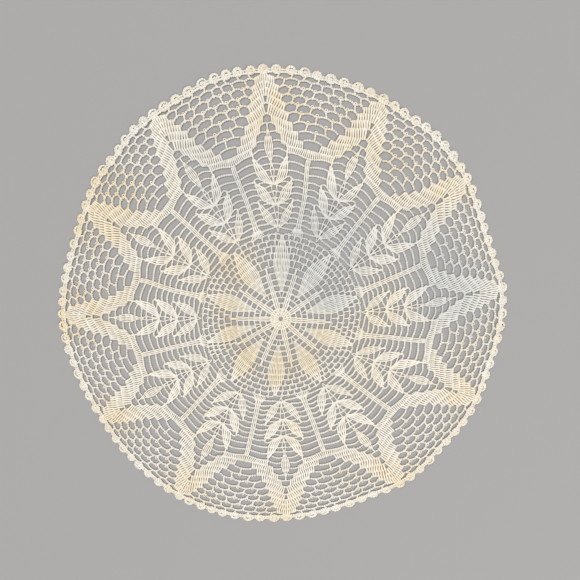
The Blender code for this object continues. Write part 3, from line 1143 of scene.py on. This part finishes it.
class DoilyYarn(bpy.types.PropertyGroup):
    """The sizes of the yarn and its stitches."""

    link_length: length_setting("Link length", "How far one chain stitch goes", 0.0027)
    link_width: length_setting("Link width", "Width of a chain across both plies", 0.0022)
    post_length: length_setting("Post length", "Usual height of a tall stitch", 0.0073)
    post_width: length_setting("Post width", "Width of a tall stitch at its widest", 0.0031)
    picot_size: length_setting("Picot size", "Width of the small rings on the net", 0.0039)
    head_lift: length_setting("Head lift", "How far a chain that runs over posts stands above them", 0.00028)
    lie_height: length_setting("Lie height", "Height of the yarn's middle above the surface", 0.0009)


class DoilyColours(bpy.types.PropertyGroup):
    """The colours of the cotton."""

    ivory: colour_setting("Ivory", "The cotton where it has kept its colour", (0.87, 0.835, 0.755))
    aged: colour_setting("Aged", "The cotton where it has yellowed", (0.86, 0.76, 0.575))
    # The pale colour is painted cool shade: a darker, cooler grey that stands in for shade on the lace.
    cool_shade: colour_setting("Pale", "The cotton where it has bleached", (0.66, 0.685, 0.69))
    groove: colour_setting("Groove", "The shade between the plies and down their sides", (0.52, 0.45, 0.35))


class DoilyStage(bpy.types.PropertyGroup):
    """The floor and the lights."""

    floor: colour_setting("Floor", "Colour of the plain floor", (0.33, 0.32, 0.31))
    key: power_setting("Key light", "Power of the main soft light", 530.0)
    fill: power_setting("Fill light", "Power of the light beside it", 145.0)
    sky: FloatProperty(name="Sky", description="Strength of the light from all round", default=0.42)


def in_scene(name, data):
    thing = bpy.data.objects.new(name, data)
    bpy.context.scene.collection.objects.link(thing)
    return thing


def crochet(name, work, seed, colours):
    """Works one part of the doily and puts it in the scene."""
    settings = bpy.context.scene.doily_yarn
    lace = Lace(settings, seed)
    work(lace)
    base = {"link": chain_link(settings), "post": tall_post(settings), "picot": picot_ring(settings)}
    mesh = joined(lace, name, base)
    cotton = bpy.data.materials.get("crochet cotton") or crochet_cotton(colours)
    mesh.materials.append(cotton)
    piece = in_scene(name, mesh)
    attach(piece, "root")
    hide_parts("doily")


class WorksDoily:
    """What the operators that crochet a part share."""

    bl_options = {"REGISTER", "UNDO"}

    def execute(self, context):
        crochet(self.part, type(self).work, self.seed, context.scene.doily_colours)
        return {"FINISHED"}


class DOILY_OT_medallion(WorksDoily, bpy.types.Operator):
    """Crochet the medallion in the middle, with its petals, ribs and net"""

    bl_idname = "doily.medallion"
    bl_label = "Medallion"
    part, seed, work = "medallion", 11, work_medallion


class DOILY_OT_leaves(WorksDoily, bpy.types.Operator):
    """Crochet the leaves of the twelve sprays"""

    bl_idname = "doily.leaves"
    bl_label = "Leaves"
    part, seed, work = "leaves", 12, work_leaves


class DOILY_OT_stems(WorksDoily, bpy.types.Operator):
    """Crochet the stems of the sprays and the chains inside them"""

    bl_idname = "doily.stems"
    bl_label = "Stems"
    part, seed, work = "stems", 13, work_stems


class DOILY_OT_ladders(WorksDoily, bpy.types.Operator):
    """Crochet the bars between the sprays and the rungs beside them"""

    bl_idname = "doily.ladders"
    bl_label = "Ladders"
    part, seed, work = "ladders", 14, work_ladders


class DOILY_OT_star_band(WorksDoily, bpy.types.Operator):
    """Crochet the dense zigzag band"""

    bl_idname = "doily.star_band"
    bl_label = "Star band"
    part, seed, work = "star_band", 15, work_band


class DOILY_OT_net(WorksDoily, bpy.types.Operator):
    """Crochet the net between the points of the band"""

    bl_idname = "doily.net"
    bl_label = "Net"
    part, seed, work = "net", 16, work_net


class DOILY_OT_rim(WorksDoily, bpy.types.Operator):
    """Crochet the scalloped rim"""

    bl_idname = "doily.rim"
    bl_label = "Rim"
    part, seed, work = "rim", 17, work_rim


FLOOR_HALF = 3.0
# Each light, with its size and its place.
LIGHTS = (("key", 3.6, (-4.2, 4.6, 6.3)), ("fill", 3.0, (2.4, -2.2, 3.2)))
SKY_COLOUR = (0.95, 0.97, 1.0, 1.0)
CAMERA_PLACE = (0.0278, 0.0763, 0.5181)
CAMERA_DEGREES = (-6.399, 1.640, -0.038)
CAMERA_LENS = 28.055
CAMERA_SENSOR = 36.0
CAMERA_NEAR = 0.01


def lay_floor(colour):
    bm = bmesh.new()
    bmesh.ops.create_grid(bm, x_segments=1, y_segments=1, size=FLOOR_HALF)
    mesh = bpy.data.meshes.new("floor")
    bm.to_mesh(mesh)
    bm.free()
    mesh.materials.append(plain_floor(colour))
    floor = in_scene("floor", mesh)


def hang_light(name, power, size, place):
    """A square soft light that faces the doily."""
    light = bpy.data.lights.new(name, "AREA")
    light.energy = power
    light.size = size
    lamp = in_scene(name, light)
    lamp.location = place
    lamp.rotation_euler = (-Vector(place)).to_track_quat("-Z", "Y").to_euler()


def light_sky(strength):
    world = bpy.data.worlds.new("soft daylight")
    world.use_nodes = True
    sky = world.node_tree.nodes["Background"]
    sky.inputs["Color"].default_value = SKY_COLOUR
    sky.inputs["Strength"].default_value = strength
    bpy.context.scene.world = world


def set_camera():
    view = bpy.data.cameras.new("camera")
    view.lens = CAMERA_LENS
    view.sensor_width = CAMERA_SENSOR
    view.sensor_fit = "HORIZONTAL"
    view.clip_start = CAMERA_NEAR
    camera = in_scene("camera", view)
    camera.location = CAMERA_PLACE
    camera.rotation_euler = [math.radians(degrees) for degrees in CAMERA_DEGREES]
    bpy.context.scene.camera = camera


class DOILY_OT_stage(bpy.types.Operator):
    """Set out the plain floor, the soft lights and the camera"""

    bl_idname = "doily.stage"
    bl_label = "Stage"

    def execute(self, context):
        stage = context.scene.doily_stage
        lay_floor(tuple(stage.floor))
        for name, size, place in LIGHTS:
            hang_light(name + " light", getattr(stage, name), size, place)
        light_sky(stage.sky)
        context.scene.view_settings.view_transform = "Standard"
        set_camera()
        return {"FINISHED"}


PARTS = (
    DOILY_OT_medallion,
    DOILY_OT_leaves,
    DOILY_OT_stems,
    DOILY_OT_ladders,
    DOILY_OT_star_band,
    DOILY_OT_net,
    DOILY_OT_rim,
    DOILY_OT_stage,
)


class DOILY_PT_panel(bpy.types.Panel):
    """The parts of the doily, and its sizes and colours"""

    bl_label = "Doily"
    bl_idname = "DOILY_PT_panel"
    bl_space_type = "VIEW_3D"
    bl_region_type = "UI"
    bl_category = "Doily"

    def draw(self, context):
        for part in PARTS:
            self.layout.operator(part.bl_idname)
        for group in (context.scene.doily_yarn, context.scene.doily_colours, context.scene.doily_stage):
            box = self.layout.box()
            for name in group.__annotations__:
                box.prop(group, name)


CLASSES = (DoilyYarn, DoilyColours, DoilyStage, *PARTS, DOILY_PT_panel)


def register():
    for entry in CLASSES:
        bpy.utils.register_class(entry)
    bpy.types.Scene.doily_yarn = PointerProperty(type=DoilyYarn)
    bpy.types.Scene.doily_colours = PointerProperty(type=DoilyColours)
    bpy.types.Scene.doily_stage = PointerProperty(type=DoilyStage)


def unregister():
    del bpy.types.Scene.doily_stage
    del bpy.types.Scene.doily_colours
    del bpy.types.Scene.doily_yarn
    for entry in reversed(CLASSES):
        bpy.utils.unregister_class(entry)


def main():
    register()
    for part in PARTS:
        family, verb = part.bl_idname.split(".")
        getattr(getattr(bpy.ops, family), verb)()


if __name__ == "__main__":
    main()
